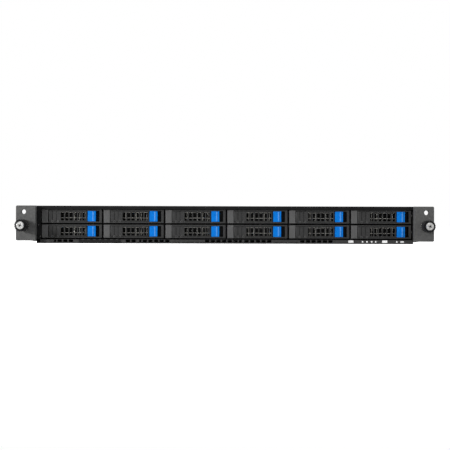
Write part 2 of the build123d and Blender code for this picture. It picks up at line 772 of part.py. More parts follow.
# Power supplies: housing with inlet, fan guard and handle, and a release tab beside the handle
for number, center in enumerate(supply_centers, start=1):
    inlet_x = center + supply_width / 2 - inlet_margin - inlet_width / 2
    guard_x = center - supply_width / 2 + guard_margin + guard_diameter / 2
    guard_z = supply_bottom + supply_height / 2
    tab_x = center + tab_offset
    with BuildPart() as supply:
        with BuildSketch(facing_front(back_y)):
            with Locations((center, supply_bottom)):
                Rectangle(supply_width, supply_height, align=(Align.CENTER, Align.MIN))
        extrude(amount=supply_length)
        with BuildSketch(facing_front(back_y)):
            with Locations((inlet_x, supply_bottom + inlet_margin + inlet_height / 2)):
                Rectangle(inlet_width, inlet_height)
        extrude(amount=inlet_depth, mode=Mode.SUBTRACT)
        with BuildSketch(facing_front(back_y - blade_setback)):
            with Locations((inlet_x, supply_bottom + inlet_margin + inlet_height / 2)):
                with Locations(
                    (-blade_step, -side_blade_drop),
                    (blade_step, -side_blade_drop),
                    (0, middle_blade_rise),
                ):
                    Rectangle(blade_width, blade_height)
        extrude(amount=inlet_depth - blade_setback)
        with BuildSketch(facing_front(back_y)):
            with Locations((guard_x, guard_z)):
                Circle(guard_diameter / 2)
                Circle(guard_hub_diameter / 2, mode=Mode.SUBTRACT)
                Rectangle(guard_diameter, guard_wire, rotation=45, mode=Mode.SUBTRACT)
                Rectangle(guard_diameter, guard_wire, rotation=135, mode=Mode.SUBTRACT)
        extrude(amount=guard_depth, mode=Mode.SUBTRACT)
        with BuildSketch(Plane.XY.offset(guard_z - handle_height / 2)):
            with Locations((guard_x, back_y)):
                Rectangle(handle_width, handle_reach, align=(Align.CENTER, Align.MIN))
                Rectangle(handle_width - 2 * handle_bar, handle_reach - handle_bar,
                          align=(Align.CENTER, Align.MIN), mode=Mode.SUBTRACT)
        extrude(amount=handle_height)
    save(f"power_supply_{number}", supply.part)
    with BuildPart() as tab:
        with BuildSketch(facing_front(back_y + part_gap)):
            with Locations((tab_x, supply_bottom + supply_height - tab_height)):
                Rectangle(tab_width, tab_height)
        extrude(amount=-tab_reach)
    save(f"supply_latch_{number}", tab.part)
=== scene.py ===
import math

import bmesh
import bpy
from bpy.props import FloatProperty, PointerProperty, StringProperty
from mathutils import Matrix, Vector


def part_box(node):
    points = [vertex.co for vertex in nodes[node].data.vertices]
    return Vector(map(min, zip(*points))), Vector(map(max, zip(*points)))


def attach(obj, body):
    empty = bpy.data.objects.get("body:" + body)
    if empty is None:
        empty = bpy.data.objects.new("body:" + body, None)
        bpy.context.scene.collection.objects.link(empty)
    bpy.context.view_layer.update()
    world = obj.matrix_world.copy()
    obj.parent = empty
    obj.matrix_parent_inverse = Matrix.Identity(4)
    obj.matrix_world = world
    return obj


bl_info = {
    "name": "Rack server dressing",
    "version": (1, 0, 0),
    "blender": (4, 5, 0),
    "location": "3D View > Sidebar > Server",
    "description": "Finishes and small parts of a one-unit rack server around its packed frame",
    "category": "Object",
}

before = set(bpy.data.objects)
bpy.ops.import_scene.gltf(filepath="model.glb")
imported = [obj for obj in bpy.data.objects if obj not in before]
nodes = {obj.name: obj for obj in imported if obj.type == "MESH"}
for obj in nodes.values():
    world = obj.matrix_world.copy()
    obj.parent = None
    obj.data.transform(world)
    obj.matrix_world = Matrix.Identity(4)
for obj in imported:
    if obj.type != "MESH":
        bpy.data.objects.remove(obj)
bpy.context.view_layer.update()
MM = 0.001
COLUMNS = 6
ROWS = 2
BAYS = COLUMNS * ROWS
USB_PORT = -120.0
NETWORK_PORTS = (-98.0, -80.0)
VIDEO_PORT = -50.0


def srgb(code):
    """A hex colour as linear red, green, blue and alpha."""
    channels = [int(code[i:i + 2], 16) / 255 for i in (1, 3, 5)]
    return [c / 12.92 if c <= 0.04045 else ((c + 0.055) / 1.055) ** 2.4 for c in channels] + [1.0]


def add(tree, kind, inputs=None, **settings):
    """One node with its settings. An input takes a value, or a socket to link from."""
    node = tree.nodes.new(kind)
    for key, value in settings.items():
        setattr(node, key, value)
    for key, value in (inputs or {}).items():
        if isinstance(value, bpy.types.NodeSocket):
            tree.links.new(value, node.inputs[key])
        else:
            node.inputs[key].default_value = value
    return node


def start_material(name, colour, roughness, metallic=0.0, **sockets):
    """A principled material with its constants set on the shader itself."""
    made = bpy.data.materials.new(name)
    made.use_nodes = True
    tree = made.node_tree
    shader = tree.nodes["Principled BSDF"]
    shader.inputs["Base Color"].default_value = srgb(colour)
    shader.inputs["Roughness"].default_value = roughness
    shader.inputs["Metallic"].default_value = metallic
    for key, value in sockets.items():
        shader.inputs[key.replace("_", " ")].default_value = value
    return tree, shader


def place(tree):
    """Coordinates in metres, in the frame of the whole server."""
    return add(tree, "ShaderNodeTexCoord").outputs["Object"]


def vary(tree, shader, dark, light, size_mm):
    """Soft cloudy change of colour between two tones, its patches size_mm wide."""
    noise = add(
        tree, "ShaderNodeTexNoise", {"Vector": place(tree), "Scale": 1000 / size_mm, "Detail": 3.0}
    )
    ramp = add(tree, "ShaderNodeValToRGB", {"Fac": noise.outputs["Fac"]})
    ramp.color_ramp.elements[0].position = 0.35
    ramp.color_ramp.elements[1].position = 0.65
    ramp.color_ramp.elements[0].color = srgb(dark)
    ramp.color_ramp.elements[1].color = srgb(light)
    tree.links.new(ramp.outputs["Color"], shader.inputs["Base Color"])


def grain(tree, shader, size_mm, height_mm, stretch=(1, 1, 1)):
    """Fine bumps size_mm apart and height_mm high, drawn out along an axis by stretch.

    They are coarser than on the real finishes, so that they show at this distance.
    """
    mapping = add(tree, "ShaderNodeMapping", {"Vector": place(tree), "Scale": stretch})
    noise = add(
        tree, "ShaderNodeTexNoise",
        {"Vector": mapping.outputs[0], "Scale": 1000 / size_mm, "Detail": 2.0},
    )
    bump = add(
        tree, "ShaderNodeBump",
        {"Height": noise.outputs["Fac"], "Distance": height_mm * MM, "Strength": 1.0},
    )
    tree.links.new(bump.outputs["Normal"], shader.inputs["Normal"])


def rough_patches(tree, shader, low, high, size_mm, stretch=(1, 1, 1)):
    """Roughness that wanders between two values, as handling and rolling leave it."""
    mapping = add(tree, "ShaderNodeMapping", {"Vector": place(tree), "Scale": stretch})
    noise = add(
        tree, "ShaderNodeTexNoise",
        {"Vector": mapping.outputs[0], "Scale": 1000 / size_mm, "Detail": 3.0},
    )
    spread = add(
        tree, "ShaderNodeMapRange", {"Value": noise.outputs["Fac"], "To Min": low, "To Max": high}
    )
    tree.links.new(spread.outputs["Result"], shader.inputs["Roughness"])


def powder_coated_steel(name, colour, dark, light):
    """Powder coat baked on steel: an even matt grey with a fine orange peel."""
    tree, shader = start_material(name, colour, 0.6, Specular_IOR_Level=0.25)
    vary(tree, shader, dark, light, 3.0)
    grain(tree, shader, 0.9, 0.03)


def black_painted_steel(colour, light):
    """Black paint sprayed thin on sheet steel: dark, with a low satin shine."""
    tree, shader = start_material("black_painted_steel", colour, 0.55, Specular_IOR_Level=0.15)
    vary(tree, shader, colour, light, 8.0)
    grain(tree, shader, 1.0, 0.02)


def galvanised_steel(colour, dark, light):
    """Hot-dip zinc on sheet steel: bright grey with a faint crystal spangle a few millimetres across."""
    tree, shader = start_material("galvanised_steel", colour, 0.5, 0.6)
    cells = add(tree, "ShaderNodeTexVoronoi", {"Vector": place(tree), "Scale": 1000 / 7.0})
    ramp = add(tree, "ShaderNodeValToRGB", {"Fac": cells.outputs["Color"]})
    ramp.color_ramp.elements[0].color = srgb(dark)
    ramp.color_ramp.elements[1].color = srgb(light)
    tree.links.new(ramp.outputs["Color"], shader.inputs["Base Color"])
    rough_patches(tree, shader, 0.48, 0.62, 5.0)


def moulded_abs(name, colour, dark, light, roughness=0.5):
    """Injection moulded ABS with a spark-eroded texture: matt and even, a little paler in patches."""
    tree, shader = start_material(name, colour, roughness, Specular_IOR_Level=0.25)
    vary(tree, shader, dark, light, 1.6)
    grain(tree, shader, 0.5, 0.012)


def glossy_abs(name, colour, dark, light):
    """Moulded ABS from a polished tool: saturated colour under a soft highlight."""
    tree, shader = start_material(name, colour, 0.36, Specular_IOR_Level=0.15)
    vary(tree, shader, dark, light, 4.0)
    grain(tree, shader, 0.8, 0.006)


def nickel_plate(colour):
    """Nickel plated and polished steel: almost white where it faces the light."""
    tree, shader = start_material("nickel_plate", colour, 0.3, 1.0)
    rough_patches(tree, shader, 0.24, 0.4, 1.2)
    grain(tree, shader, 2.0, 0.004)


def black_oxide_steel(colour, light):
    """Turned steel blackened in hot salts: near black, with bare glints on the edges of the knurl."""
    tree, shader = start_material("black_oxide_steel", colour, 0.34, 0.5)
    vary(tree, shader, colour, light, 1.2)
    grain(tree, shader, 0.6, 0.03)


def zinc_sheet(colour, dark, light):
    """Stamped zinc plated sheet: bright and slightly streaked."""
    tree, shader = start_material("zinc_sheet", colour, 0.45, 0.4)
    vary(tree, shader, dark, light, 2.5)
    grain(tree, shader, 0.7, 0.01, (1, 1, 4))


def milled_aluminium(colour):
    """Skived and milled aluminium: pale, with fine parallel tool marks."""
    tree, shader = start_material("milled_aluminium", colour, 0.32, 1.0)
    rough_patches(tree, shader, 0.24, 0.42, 1.0, (1, 0.05, 1))
    grain(tree, shader, 0.6, 0.008, (1, 0.05, 1))


def solder_mask(colour, dark, light):
    """Glass-fibre laminate under solder mask: glossy, in fields parted by darker lanes."""
    tree, shader = start_material("solder_mask", colour, 0.34, IOR=1.5)
    bricks = add(
        tree, "ShaderNodeTexBrick",
        {"Vector": place(tree), "Scale": 1000 / 9.0, "Color1": srgb(dark), "Color2": srgb(light),
         "Mortar": srgb(dark), "Mortar Size": 0.03, "Bias": 0.1},
    )
    tree.links.new(bricks.outputs["Color"], shader.inputs["Base Color"])
    grain(tree, shader, 1.2, 0.01)


def lamp_lens(name, colour, glow):
    """Polished polycarbonate light pipe: smooth, and lit from behind where glow isn't nought."""
    tree, shader = start_material(
        name, colour, 0.25, IOR=1.58, Emission_Color=srgb(colour), Emission_Strength=glow
    )
    grain(tree, shader, 0.5, 0.01)


def gold_plate(colour):
    """Hard gold on copper contacts: warm and bright."""
    tree, shader = start_material("gold_plate", colour, 0.25, 1.0)
    rough_patches(tree, shader, 0.2, 0.35, 0.8)


def studio_white(colour, strength):
    """Matt white paper: it keeps the server's shadow, and the camera sees it as white."""
    tree, shader = start_material("studio_white", colour, 0.9)
    light = add(tree, "ShaderNodeEmission", {"Color": srgb("#ffffff"), "Strength": strength})
    both = add(tree, "ShaderNodeAddShader")
    path = add(tree, "ShaderNodeLightPath")
    mix = add(tree, "ShaderNodeMixShader", {"Fac": path.outputs["Is Camera Ray"]})
    tree.links.new(shader.outputs[0], both.inputs[0])
    tree.links.new(light.outputs[0], both.inputs[1])
    tree.links.new(shader.outputs[0], mix.inputs[1])
    tree.links.new(both.outputs[0], mix.inputs[2])
    tree.links.new(mix.outputs[0], tree.nodes["Material Output"].inputs["Surface"])


def block(bm, low, high):
    """A box between two corners. It gives its corners, for a piece that turns it."""
    low, high = Vector(low), Vector(high)
    size = high - low
    matrix = Matrix.Translation((low + high) / 2) @ Matrix.Diagonal((*size, 1))
    return bmesh.ops.create_cube(bm, size=1, matrix=matrix)["verts"]


def rod(bm, centre, axis, radius, depth, sides=24, tip=None):
    """A round bar centred on a point, or a cone with a tip radius, along an axis."""
    turn = Vector((0, 0, 1)).rotation_difference(Vector(axis)).to_matrix().to_4x4()
    bmesh.ops.create_cone(
        bm, cap_ends=True, segments=sides, radius1=radius, radius2=radius if tip is None else tip,
        depth=depth, matrix=Matrix.Translation(centre) @ turn,
    )


def ring(bm, centre, axis, outer, inner, depth, sides=24):
    """A flat ring centred on a point, along an axis."""
    turn = Vector((0, 0, 1)).rotation_difference(Vector(axis)).to_matrix()
    loops = []
    for radius, height in ((outer, -1), (outer, 1), (inner, 1), (inner, -1)):
        loop = []
        for step in range(sides):
            angle = 2 * math.pi * step / sides
            spot = Vector((radius * math.cos(angle), radius * math.sin(angle), height * depth / 2))
            loop.append(bm.verts.new(Vector(centre) + turn @ spot))
        loops.append(loop)
    for number, loop in enumerate(loops):
        other = loops[(number + 1) % 4]
        for step in range(sides):
            after = (step + 1) % sides
            bm.faces.new((loop[step], loop[after], other[after], other[step]))


def piece(name, bm, body, finish, bevel=0.0, smooth=False):
    """Turns a bmesh into an object that rides on a body, its edges rounded by so many millimetres."""
    bmesh.ops.recalc_face_normals(bm, faces=bm.faces)
    mesh = bpy.data.meshes.new(name)
    bm.to_mesh(mesh)
    bm.free()
    made = bpy.data.objects.new(name, mesh)
    bpy.context.scene.collection.objects.link(made)
    made.data.materials.append(finish_of(finish))
    if bevel:
        edge = made.modifiers.new("edge", "BEVEL")
        edge.width = bevel * MM
        edge.segments = 2
        edge.limit_method = "ANGLE"
    if smooth:
        for face in mesh.polygons:
            face.use_smooth = len(face.vertices) == 4
    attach(made, body)


def dress(node_name, finish, edge=0.0):
    """Gives a frame node one finish, and rounds its edges by so many millimetres."""
    node = nodes[node_name]
    node.data.materials.clear()
    node.data.materials.append(finish_of(finish))
    for face in node.data.polygons:
        face.material_index = 0
    if edge:
        join = node.modifiers.new("join", "WELD")
        join.merge_threshold = 0.00001
        soft = node.modifiers.new("edge", "BEVEL")
        soft.width = edge * MM
        soft.segments = 2
        soft.limit_method = "ANGLE"
        soft.angle_limit = math.radians(40)


def repaint(node_name, finish, picked):
    """A second finish on the faces that picked(centre, normal) names, with the centre in millimetres."""
    mesh = nodes[node_name].data
    mesh.materials.append(finish_of(finish))
    for face in mesh.polygons:
        if picked(face.center / MM, face.normal):
            face.material_index = len(mesh.materials) - 1


def finish_of(name):
    """A material that an earlier step made."""
    return bpy.data.materials[name]


def mm(*values):
    """Millimetres as a vector in metres."""
    return Vector(values) * MM


def edges(node_name):
    """The lowest and highest corner of a frame node, in millimetres."""
    low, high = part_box(node_name)
    return low / MM, high / MM


def colour(name, text, default):
    """A colour that the panel can change, as a hex value."""
    return StringProperty(name=name, description=text, default=default)


def length(name, text, default):
    """A length that the panel can change, in millimetres."""
    return FloatProperty(name=name, description=text, default=default)


class ServerColours(bpy.types.PropertyGroup):
    """Colours of the server's finishes, as sRGB hex values."""

    ear: colour("Ears", "Powder coat on the rack ears", "#555554")
    ear_dark: colour("Ears, dark", "Darker tone in the powder coat", "#505050")
    ear_light: colour("Ears, light", "Lighter tone in the powder coat", "#5b5b5a")
    # The strip colours are the ears' powder coat darkened, as painted shade on the front strip.
    strip: colour("Bottom strip", "Powder coat on the perforated strip", "#343434")
    strip_dark: colour("Bottom strip, dark", "Darker tone of the strip", "#303030")
    strip_light: colour("Bottom strip, light", "Lighter tone of the strip", "#393939")
    cage: colour("Cage", "Black paint on the drive cage", "#0d0d0e")
    cage_light: colour("Cage, light", "Lighter tone in the black paint", "#131314")
    case: colour("Case", "Zinc on the case and lid", "#aeb1b2")
    case_dark: colour("Case, dark", "Dark spangle", "#a0a3a5")
    case_light: colour("Case, light", "Light spangle", "#bec1c2")
    bezel: colour("Bezels", "Moulded tray bezels and levers", "#333333")
    bezel_dark: colour("Bezels, dark", "Darker tone of the bezels", "#2f2f2f")
    bezel_light: colour("Bezels, light", "Lighter tone of the bezels", "#383838")
    # The end plates' lighter grey is painted light: the flat plate stands for an angled hinge end that
    # catches more light.
    end_plate: colour("End plates", "Smooth plate at the left of each tray", "#575757")
    end_plate_dark: colour("End plates, dark", "Darker tone of the end plates", "#535353")
    end_plate_light: colour("End plates, light", "Lighter tone of the end plates", "#5c5c5c")
    # Inside the tray pockets and lever slots this black is painted shade.
    plastic: colour("Black plastic", "Chips, fans, ports and the insides of the trays", "#0b0b0c")
    plastic_dark: colour("Black plastic, dark", "Darker tone of the plastic", "#09090a")
    plastic_light: colour("Black plastic, light", "Lighter tone of the plastic", "#0f0f10")
    latch: colour("Latches", "Blue release latches", "#0076d6")
    latch_dark: colour("Latches, dark", "Darker tone of the latches", "#0072d0")
    latch_light: colour("Latches, light", "Lighter tone of the latches", "#007adc")
    # The ribs' lighter blue is a painted highlight, where a ridge on the latch catches light.
    latch_ridge: colour("Latch ridges", "Worn ribs on each latch", "#5a9fe8")
    latch_ridge_dark: colour("Latch ridges, dark", "Darker tone of the ribs", "#5499e0")
    latch_ridge_light: colour("Latch ridges, light", "Lighter tone of the ribs", "#62a8f0")
    grid: colour("Vent grids", "Bright grid behind the levers", "#dcdad2")
    grid_dark: colour("Vent grids, dark", "Darker tone of the grids", "#c2c0b8")
    grid_light: colour("Vent grids, light", "Lighter tone of the grids", "#ecebe4")
    button: colour("Buttons", "White buttons and lenses", "#efefef")
    button_dark: colour("Buttons, dark", "Darker tone of the buttons", "#e6e6e6")
    button_light: colour("Buttons, light", "Lighter tone of the buttons", "#f6f6f6")
    board: colour("Boards", "Solder mask", "#0f4a2e")
    board_dark: colour("Boards, dark", "Darker tone of the solder mask", "#0c3f27")
    board_light: colour("Boards, light", "Lighter tone of the solder mask", "#12523a")
    nickel: colour("Nickel", "Discs of the thumbscrews, rings and small screws", "#eeeeec")
    # On the washers this near black is painted shade.
    oxide: colour("Black oxide", "Collars, washers and capacitors", "#1a1a1c")
    oxide_light: colour("Black oxide, light", "Lighter tone of the collars", "#262629")
    aluminium: colour("Aluminium", "Coolers and fan caps", "#c9cbcc")
    lens: colour("Tray lenses", "Dark lenses in the levers", "#141414")
    gold: colour("Gold", "Contacts of the network ports", "#d8ab4e")


class ServerSizes(bpy.types.PropertyGroup):
    """Sizes of the details that the frame doesn't hold, in millimetres."""

    moulded_edge: length("Moulded edge", "Rounding of moulded edges", 0.22)
    sheet_edge: length("Sheet edge", "Rounding of coated sheet edges", 0.35)
    end_plate: length("End plate", "Width of the smooth plate", 7.2)
    grid_bar: length("Grid bar", "Height of the bright bars behind the slots", 0.75)
    grid_post: length("Grid post", "Width of the bright posts behind the slots", 0.6)
    grid_step: length("Grid step", "From one bright post to the next", 6.1)
    lens: length("Tray lens", "Diameter of the lenses in a lever", 1.7)
    cross: length("Driver cross", "Length of the cross in a thumbscrew", 4.4)
    screw: length("Screw head", "Diameter of the case screws", 5.5)
    stud: length("Rail stud", "Diameter of the rail studs", 7.0)
    lamp: length("Lamp", "Diameter of the lamps in the strip", 1.8)


class ServerStudio(bpy.types.PropertyGroup):
    """Camera and light."""

    distance: FloatProperty(
        name="Distance", description="Camera to the face of the ears", default=1.1726, unit="LENGTH"
    )
    lens: FloatProperty(name="Lens", description="Focal length in millimetres", default=81.3)
    roll: FloatProperty(
        name="Roll", description="Turn of the camera about its view",
        default=math.radians(0.17), subtype="ANGLE",
    )
    height: FloatProperty(
        name="Height", description="Height of the camera", default=0.0217, unit="LENGTH"
    )
    fill: FloatProperty(
        name="Fill", description="Strength of the room's light", default=0.17
    )
    dark: FloatProperty(
        name="Dark", description="What a shiny face sees of the room ahead", default=0.45
    )
    left: FloatProperty(
        name="Left", description="Power of the lamp at the left, in watts", default=58.0
    )
    right: FloatProperty(
        name="Right", description="Power of the lamp at the right, in watts", default=8.5
    )
    top: FloatProperty(
        name="Top", description="Power of the lamp overhead, in watts", default=9.0
    )


def colours():
    """The colours as the scene holds them."""
    return bpy.context.scene.server_colours


def sizes():
    """The sizes as the scene holds them."""
    return bpy.context.scene.server_sizes


def studio():
    """The camera and light as the scene holds them."""
    return bpy.context.scene.server_studio


def room():
    """White to the camera, even on matt faces, and a dim room with a bright ceiling in shiny ones."""
    world = bpy.data.worlds.new("room")
    world.use_nodes = True
    tree = world.node_tree
    white = srgb("#ffffff")
    path = add(tree, "ShaderNodeLightPath")
    around = add(tree, "ShaderNodeTexCoord")
    heading = add(tree, "ShaderNodeSeparateXYZ", {0: around.outputs["Generated"]})
    mirrored = add(
        tree, "ShaderNodeMapRange",
        {"Value": heading.outputs["Z"], "From Min": 0.05, "From Max": 0.6,
         "To Min": studio().dark, "To Max": 0.6},
    )
    fill = tree.nodes["Background"]
    fill.inputs["Color"].default_value = white
    fill.inputs["Strength"].default_value = studio().fill
    shine = add(tree, "ShaderNodeBackground", {"Color": white, "Strength": mirrored.outputs[0]})
    light = add(
        tree, "ShaderNodeMixShader",
        {0: path.outputs["Is Glossy Ray"], 1: fill.outputs[0], 2: shine.outputs[0]},
    )
    paper = add(tree, "ShaderNodeBackground", {"Color": white, "Strength": 1.0})
    seen = add(
        tree, "ShaderNodeMath", {0: path.outputs["Is Camera Ray"], 1: path.outputs["Is Transmission Ray"]},
        operation="MAXIMUM",
    )
    both = add(
        tree, "ShaderNodeMixShader",
        {0: seen.outputs[0], 1: light.outputs[0], 2: paper.outputs[0]},
    )
    tree.links.new(both.outputs[0], tree.nodes["World Output"].inputs["Surface"])
    return world


class SERVER_OT_stage(bpy.types.Operator):
    """White sweep, soft lamps and the camera in front of the server"""

    bl_idname = "server.stage"
    bl_label = "Stage"

    def execute(self, context):
        scene = context.scene
        scene.view_settings.view_transform = "Standard"
        bm = bmesh.new()
        bmesh.ops.create_grid(bm, x_segments=4, y_segments=4, size=12)
        mesh = bpy.data.meshes.new("floor")
        bm.to_mesh(mesh)
        bm.free()
        floor = bpy.data.objects.new("floor", mesh)
        floor.location.z = -0.05 * MM
        studio_white("#f0f0f0", 0.86)
        floor.data.materials.append(finish_of("studio_white"))
        scene.collection.objects.link(floor)
        scene.world = room()
        front = ear_face() * MM
        # each lamp: name, power, width across and place in metres
        for name, power, size, spot in (
            ("left_lamp", studio().left, 0.6, (-2.0, front - 1.5, 0.6)),
            ("right_lamp", studio().right, 0.6, (1.9, front - 1.5, 0.5)),
            ("top_lamp", studio().top, 1.4, (-0.1, front - 0.2, 1.6)),
        ):
            light = bpy.data.lights.new(name, "AREA")
            light.energy = power
            light.size = size
            lamp = bpy.data.objects.new(name, light)
            lamp.location = spot
            aim = Vector((0, front, 0.02)) - Vector(spot)
            lamp.rotation_euler = aim.to_track_quat("-Z", "Y").to_euler()
            scene.collection.objects.link(lamp)
        camera_data = bpy.data.cameras.new("camera")
        camera_data.lens = studio().lens
        camera_data.sensor_width = 36
        camera = bpy.data.objects.new("camera", camera_data)
        camera.location = (0, front - studio().distance, studio().height)
        upright = Matrix.Rotation(math.pi / 2, 3, "X")
        camera.rotation_euler = (upright @ Matrix.Rotation(studio().roll, 3, "Z")).to_euler()
        scene.collection.objects.link(camera)
        scene.camera = camera
        return {"FINISHED"}


class SERVER_OT_finishes(bpy.types.Operator):
    """Makes every material, from what the real one is"""

    bl_idname = "server.finishes"
    bl_label = "Finishes"

    def execute(self, context):
        c = colours()
        powder_coated_steel("powder_coated_steel", c.ear, c.ear_dark, c.ear_light)
        # The strip's copy of the powder coat is darker as painted shade.
        powder_coated_steel("powder_coated_steel_painted_shade", c.strip, c.strip_dark, c.strip_light)
        black_painted_steel(c.cage, c.cage_light)
        galvanised_steel(c.case, c.case_dark, c.case_light)
        moulded_abs("moulded_abs", c.bezel, c.bezel_dark, c.bezel_light)
        # Lighter grey ABS as painted light, on the end plates and the lens rims.
        moulded_abs("abs_painted_light", c.end_plate, c.end_plate_dark, c.end_plate_light, 0.42)
        moulded_abs("black_abs", c.plastic, c.plastic_dark, c.plastic_light)
        glossy_abs("blue_abs", c.latch, c.latch_dark, c.latch_light)
        # Lighter blue as a painted highlight on the latch ribs.
        glossy_abs("blue_abs_painted_highlight", c.latch_ridge, c.latch_ridge_dark, c.latch_ridge_light)
        glossy_abs("white_abs", c.button, c.button_dark, c.button_light)
        nickel_plate(c.nickel)
        black_oxide_steel(c.oxide, c.oxide_light)
        zinc_sheet(c.grid, c.grid_dark, c.grid_light)
        milled_aluminium(c.aluminium)
        solder_mask(c.board, c.board_dark, c.board_light)
        lamp_lens("clear_lens", c.button, 0.15)
        lamp_lens("smoked_lens", c.lens, 0.0)
        gold_plate(c.gold)
        return {"FINISHED"}


def ear_face():
    """Where the front face of the ears lies, in millimetres along the depth."""
    washer_height = 2.4
    return edges("rack_ears")[0].y + washer_height


def screw_heads(bm, spots, axis, radius, height):
    """Low round heads, one at each spot, standing out along an axis."""
    for spot in spots:
        rod(bm, Vector(spot) * MM, axis, radius * MM, height * MM, 16, 0.7 * radius * MM)


class SERVER_OT_case(bpy.types.Operator):
    """Zinc on the case and lid, the ears' powder coat darkened as painted shade on the front strip, black
    paint on the cage
    """

    bl_idname = "server.case"
    bl_label = "Case"

    def execute(self, context):
        s = sizes()
        strip_depth = 1.5
        stud_height = 21.8
        stud_places = (-230, -40, 150, 320)
        screw_places = [(along, 38.5) for along in (-150, -20, 110, 240, 335)]
        screw_places += [(along, 9.0) for along in (-270, -245)]
        dress("chassis_base", "galvanised_steel")
        low, high = edges("chassis_base")
        # The front strip's faces take the darker powder coat, as painted shade.
        repaint(
            "chassis_base", "powder_coated_steel_painted_shade",
            lambda centre, normal: centre.y < low.y + strip_depth,
        )
        dress("top_cover", "galvanised_steel")
        dress("drive_cage", "black_painted_steel")
        top = edges("drive_cage")[1].z
        repaint("drive_cage", "galvanised_steel", lambda centre, normal: centre.z > top - 0.1)
        for side, word in ((-1, "left"), (1, "right")):
            wall = side * high.x
            outward = (side, 0, 0)
            bm = bmesh.new()
            for along in stud_places:
                neck = mm(wall + side * 1.2, along, stud_height)
                rod(bm, neck, outward, 0.35 * s.stud * MM, 2.4 * MM, 20)
                cap = mm(wall + side * 2.0, along, stud_height)
                rod(bm, cap, outward, 0.5 * s.stud * MM, 0.8 * MM, 20)
            piece(f"{word}_rail_studs", bm, "chassis", "nickel_plate", 0.15, True)
            bm = bmesh.new()
            spots = [(wall + side * 0.3, along, height) for along, height in screw_places]
            screw_heads(bm, spots, outward, s.screw / 2, 0.6)
            piece(f"{word}_side_screws", bm, "chassis", "zinc_sheet", 0.1, True)
        return {"FINISHED"}


class SERVER_OT_ears(bpy.types.Operator):
    """Powder coated ears, with a washer painted near black as shade and bright teeth on it as painted
    glints behind each thumbscrew
    """

    bl_idname = "server.ears"
    bl_label = "Rack ears"

    def execute(self, context):
        dress("rack_ears", "powder_coated_steel", sizes().sheet_edge)
        front = ear_face()
        tooth_count = 18
        cheek_depth = 7.9
        rivets = {
            "left": ((-216.4, 21.3), (-214.4, 8.0)),
            "right": ((216.6, 33.0), (216.6, 14.0)),
        }
        # The washers in front of the ears are painted near black as shade.
        repaint("rack_ears", "black_oxide_steel", lambda centre, normal: centre.y < front - 0.1)
        for word in rivets:
            low, high = edges(f"{word}_thumbscrew")
            axis = (low + high) / 2
            teeth = bmesh.new()
            for step in range(tooth_count):
                turn = Matrix.Rotation(2 * math.pi * step / tooth_count, 4, "Y")
                tooth = block(teeth, mm(5.95, -1.9, -0.45), mm(6.5, -0.4, 0.45))
                home = Matrix.Translation(mm(axis.x, front, axis.z))
                bmesh.ops.transform(teeth, matrix=home @ turn, verts=tooth)
            # The teeth are bright zinc as painted glints on the washer edges.
            piece(f"{word}_washer_teeth", teeth, "chassis", "zinc_sheet", 0.05)
        for word, spots in rivets.items():
            bm = bmesh.new()
            for across, height in spots:
                rod(bm, mm(across, front + cheek_depth, height), (0, -1, 0), 0.6 * MM, 0.5 * MM, 12)
            piece(f"{word}_cheek_rivets", bm, "chassis", "powder_coated_steel", 0.0)
        return {"FINISHED"}


class SERVER_OT_thumbscrews(bpy.types.Operator):
    """Black knurled collars with a bright disc, and a black cross on it as the painted shade of a driver
    recess
    """

    bl_idname = "server.thumbscrews"
    bl_label = "Thumbscrews"

    def execute(self, context):
        reach = sizes().cross / 2
        disc_height = 1.7
        cross_turn = 0.4
        for name in ("left_thumbscrew", "right_thumbscrew"):
            dress(name, "black_oxide_steel", 0.12)
            low, high = edges(name)
            axis = (low + high) / 2
            tip = low.y

            def on_disc(centre, normal):
                return centre.y < tip + disc_height

            repaint(name, "nickel_plate", on_disc)
            bm = bmesh.new()
            for turn in (cross_turn, cross_turn + math.pi / 2):
                bar = block(bm, mm(-reach, -0.02, -0.5), mm(reach, 0.1, 0.5))
                spin = Matrix.Translation(mm(axis.x, tip, axis.z)) @ Matrix.Rotation(turn, 4, "Y")
                bmesh.ops.transform(bm, matrix=spin, verts=bar)
            # The black cross stands proud of the disc, painted shade of the driver recess.
            piece(f"{name}_cross", bm, name, "black_oxide_steel", 0.0)
            bm = bmesh.new()
            seat = mm(axis.x, tip + disc_height, axis.z)
            ring(bm, seat, (0, -1, 0), 5.6 * MM, 4.7 * MM, 0.4 * MM, 48)
            piece(f"{name}_seat", bm, name, "black_abs", 0.0)
        return {"FINISHED"}


def vent_grid(bm, left, face, bottom):
    """The bright lattice behind a lever's slots: two bars, and posts wider apart than the slots."""
    s = sizes()
    bar_start, bar_end = 20.5, 51.9
    bar_heights = (5.9, 12.3)
    first_post, post_count = 24.9, 5
    for height in bar_heights:
        block(
            bm,
            mm(left + bar_start, face + 7.2, bottom + height - s.grid_bar / 2),
            mm(left + bar_end, face + 7.8, bottom + height + s.grid_bar / 2),
        )
    for post in range(post_count):
        x = left + first_post + s.grid_step * post
        block(
            bm,
            mm(x - s.grid_post / 2, face + 7.4, bottom + 2.6),
            mm(x + s.grid_post / 2, face + 7.9, bottom + 12.9),
        )


